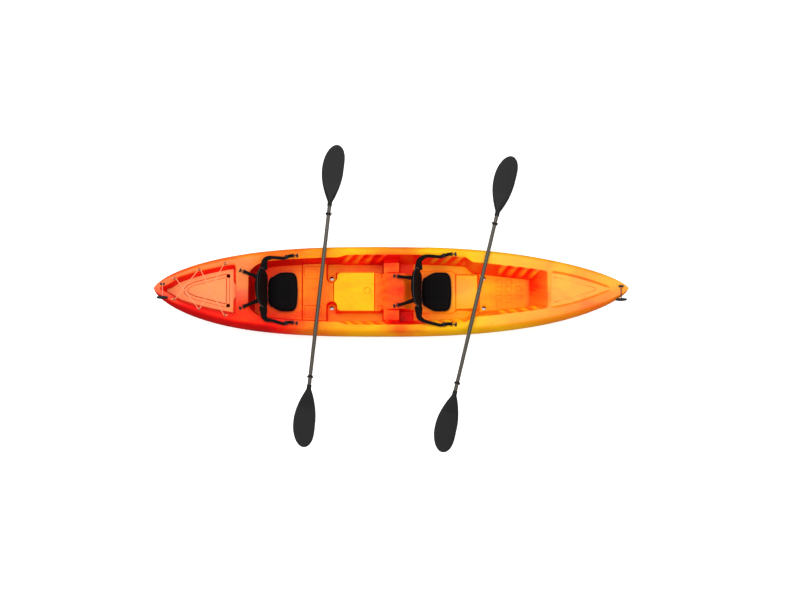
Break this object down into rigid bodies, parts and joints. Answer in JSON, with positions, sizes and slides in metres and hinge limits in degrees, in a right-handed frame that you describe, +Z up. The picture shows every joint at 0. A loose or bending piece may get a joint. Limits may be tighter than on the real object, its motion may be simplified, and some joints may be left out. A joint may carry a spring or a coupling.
{
  "type": "tandem sit-on-top kayak",
  "caption": "Rotomoulded sit-on-top tandem kayak in marbled red, orange and yellow, with padded folding seats, laced tank well, scuppers, toggle handles and paddles laid across.",
  "frame": {"origin": "on the flat keel strip under the middle of the hull's length", "axes": "+X to the bow, +Y to port, +Z up"},
  "size_m": [3.7, 2.4274, 0.4904],
  "materials": {
    "hull_polyethylene": "satin, marbled red, orange and yellow",
    "black_nylon": "matte",
    "rope": "braided",
    "grip_rubber": "matte",
    "bungee": "braided cover",
    "webbing": "woven",
    "seat_fabric": "matte woven",
    "hook_metal": "dull",
    "shaft": "satin, woven glass",
    "blade_nylon": "satin",
    "drip_rubber": "matte"
  },
  "bodies": {
    "hull": {"hull": "hull_polyethylene", "bow_anchor": "black_nylon", "stern_anchor": "black_nylon", "bungee_a": "bungee", "bungee_b": "bungee", "bungee_loops": "black_nylon", "seat_eyes": "black_nylon", "rear_pad": "seat_fabric", "rear_side_strap_l": "webbing", "rear_side_strap_r": "webbing", "rear_tail_strap_l": "webbing", "rear_tail_strap_r": "webbing", "rear_hooks": "hook_metal", "rear_sliders": "black_nylon", "front_pad": "seat_fabric", "front_side_strap_l": "webbing", "front_side_strap_r": "webbing", "front_tail_strap_l": "webbing", "front_tail_strap_r": "webbing", "front_hooks": "hook_metal", "front_sliders": "black_nylon"},
    "rear_back": {"rear_back": "seat_fabric"},
    "front_back": {"front_back": "seat_fabric"},
    "bow_handle": {"bow_rope": "rope", "bow_grip": "grip_rubber"},
    "stern_handle": {"stern_rope": "rope", "stern_grip": "grip_rubber"},
    "rear_paddle": {"rear_paddle_shaft": "shaft", "rear_paddle_blade_l": "blade_nylon", "rear_paddle_blade_r": "blade_nylon"},
    "rear_ring_l": {"rear_paddle_ring_l": "drip_rubber"},
    "rear_ring_r": {"rear_paddle_ring_r": "drip_rubber"},
    "front_paddle": {"front_paddle_shaft": "shaft", "front_paddle_blade_l": "blade_nylon", "front_paddle_blade_r": "blade_nylon"},
    "front_ring_l": {"front_paddle_ring_l": "drip_rubber"},
    "front_ring_r": {"front_paddle_ring_r": "drip_rubber"}
  },
  "joints": [
    {"name": "rear_back_fold", "type": "hinge", "parent": "hull", "child": "rear_back", "pos_m": [-0.985, 0, 0.164], "axis": [0, 1, 0], "range_deg": [-8, 50], "deforming": ["rear_side_strap_l", "rear_side_strap_r", "rear_tail_strap_l", "rear_tail_strap_r"]},
    {"name": "front_back_fold", "type": "hinge", "parent": "hull", "child": "front_back", "pos_m": [0.223, 0, 0.164], "axis": [0, 1, 0], "range_deg": [-8, 50], "deforming": ["front_side_strap_l", "front_side_strap_r", "front_tail_strap_l", "front_tail_strap_r"]},
    {"name": "bow_handle_swing", "type": "hinge", "parent": "hull", "child": "bow_handle", "pos_m": [1.78962, 0.016, 0.35211], "axis": [-0.9889, 0, -0.1489], "range_deg": [0, 120]},
    {"name": "stern_handle_swing", "type": "hinge", "parent": "hull", "child": "stern_handle", "pos_m": [-1.78203, 0.036, 0.34267], "axis": [-0.9924, 0, 0.1234], "range_deg": [0, 120]},
    {"name": "rear_paddle_lift", "type": "slide", "parent": "hull", "child": "rear_paddle", "axis": [0, 0, 1], "range_m": [0, 0.3]},
    {"name": "rear_ring_l_slide", "type": "slide", "parent": "rear_paddle", "child": "rear_ring_l", "axis": [0.1063, 0.9943, 0], "range_m": [-0.2, 0.05]},
    {"name": "rear_ring_r_slide", "type": "slide", "parent": "rear_paddle", "child": "rear_ring_r", "axis": [-0.1063, -0.9943, 0], "range_m": [-0.2, 0.05]},
    {"name": "front_paddle_lift", "type": "slide", "parent": "hull", "child": "front_paddle", "axis": [0, 0, 1], "range_m": [0, 0.3]},
    {"name": "front_ring_l_slide", "type": "slide", "parent": "front_paddle", "child": "front_ring_l", "axis": [0.2317, 0.9728, 0], "range_m": [-0.2, 0.05]},
    {"name": "front_ring_r_slide", "type": "slide", "parent": "front_paddle", "child": "front_ring_r", "axis": [-0.2317, -0.9728, 0], "range_m": [-0.2, 0.05]}
  ]
}
